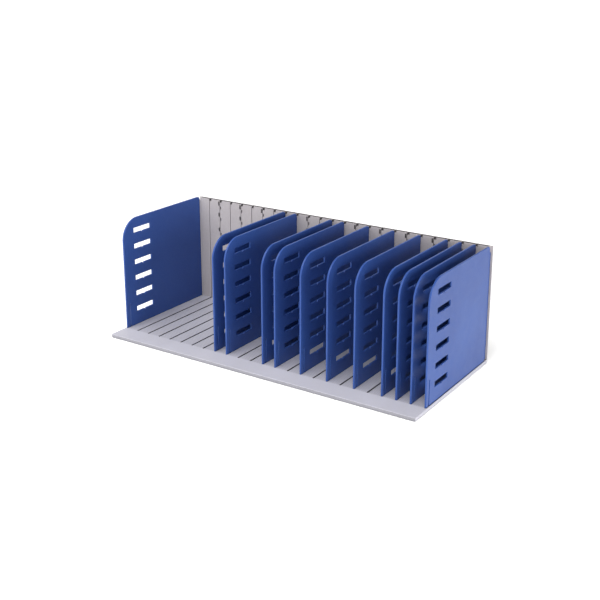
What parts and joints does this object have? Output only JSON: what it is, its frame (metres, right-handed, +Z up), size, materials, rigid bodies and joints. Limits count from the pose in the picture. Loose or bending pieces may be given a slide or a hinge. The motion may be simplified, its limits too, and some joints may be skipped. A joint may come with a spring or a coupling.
{
  "type": "desktop file sorter",
  "caption": "Desktop sorter with a flat slotted base, a grooved back wall and upright lift-out panels that divide it into compartments for catalogues and paper.",
  "frame": {"origin": "on the desk, in the middle of the footprint", "axes": "+X to the right along the width, +Z up, and -Y to the front, where the compartments open"},
  "size_m": [0.723, 0.3124, 0.2468],
  "materials": {
    "light_grey_plastic": "fine satin texture, moulded in one colour",
    "cobalt_blue_plastic": "satin, finely grained, moulded in one colour",
    "rubber": "matt"
  },
  "bodies": {
    "rack": {"base_plate": "light_grey_plastic", "back_wall": "light_grey_plastic", "foot_1": "rubber", "foot_2": "rubber", "foot_3": "rubber", "foot_4": "rubber", "foot_5": "rubber", "foot_6": "rubber", "foot_7": "rubber", "foot_8": "rubber"},
    "left_side_panel": {"left_side_panel": "cobalt_blue_plastic"},
    "divider_1": {"divider_1": "cobalt_blue_plastic"},
    "divider_2": {"divider_2": "cobalt_blue_plastic"},
    "divider_3": {"divider_3": "cobalt_blue_plastic"},
    "divider_4": {"divider_4": "cobalt_blue_plastic"},
    "divider_5": {"divider_5": "cobalt_blue_plastic"},
    "divider_6": {"divider_6": "cobalt_blue_plastic"},
    "divider_7": {"divider_7": "cobalt_blue_plastic"},
    "divider_8": {"divider_8": "cobalt_blue_plastic"},
    "divider_9": {"divider_9": "cobalt_blue_plastic"},
    "divider_10": {"divider_10": "cobalt_blue_plastic"},
    "right_side_panel": {"right_side_panel": "cobalt_blue_plastic"}
  },
  "joints": [
    {"name": "left_side_panel_lift", "type": "slide", "parent": "rack", "child": "left_side_panel", "axis": [0, 0, 1], "range_m": [0, 0.25]},
    {"name": "divider_1_lift", "type": "slide", "parent": "rack", "child": "divider_1", "axis": [0, 0, 1], "range_m": [0, 0.25]},
    {"name": "divider_2_lift", "type": "slide", "parent": "rack", "child": "divider_2", "axis": [0, 0, 1], "range_m": [0, 0.25]},
    {"name": "divider_3_lift", "type": "slide", "parent": "rack", "child": "divider_3", "axis": [0, 0, 1], "range_m": [0, 0.25]},
    {"name": "divider_4_lift", "type": "slide", "parent": "rack", "child": "divider_4", "axis": [0, 0, 1], "range_m": [0, 0.25]},
    {"name": "divider_5_lift", "type": "slide", "parent": "rack", "child": "divider_5", "axis": [0, 0, 1], "range_m": [0, 0.25]},
    {"name": "divider_6_lift", "type": "slide", "parent": "rack", "child": "divider_6", "axis": [0, 0, 1], "range_m": [0, 0.25]},
    {"name": "divider_7_lift", "type": "slide", "parent": "rack", "child": "divider_7", "axis": [0, 0, 1], "range_m": [0, 0.25]},
    {"name": "divider_8_lift", "type": "slide", "parent": "rack", "child": "divider_8", "axis": [0, 0, 1], "range_m": [0, 0.25]},
    {"name": "divider_9_lift", "type": "slide", "parent": "rack", "child": "divider_9", "axis": [0, 0, 1], "range_m": [0, 0.25]},
    {"name": "divider_10_lift", "type": "slide", "parent": "rack", "child": "divider_10", "axis": [0, 0, 1], "range_m": [0, 0.25]},
    {"name": "right_side_panel_lift", "type": "slide", "parent": "rack", "child": "right_side_panel", "axis": [0, 0, 1], "range_m": [0, 0.25]}
  ]
}
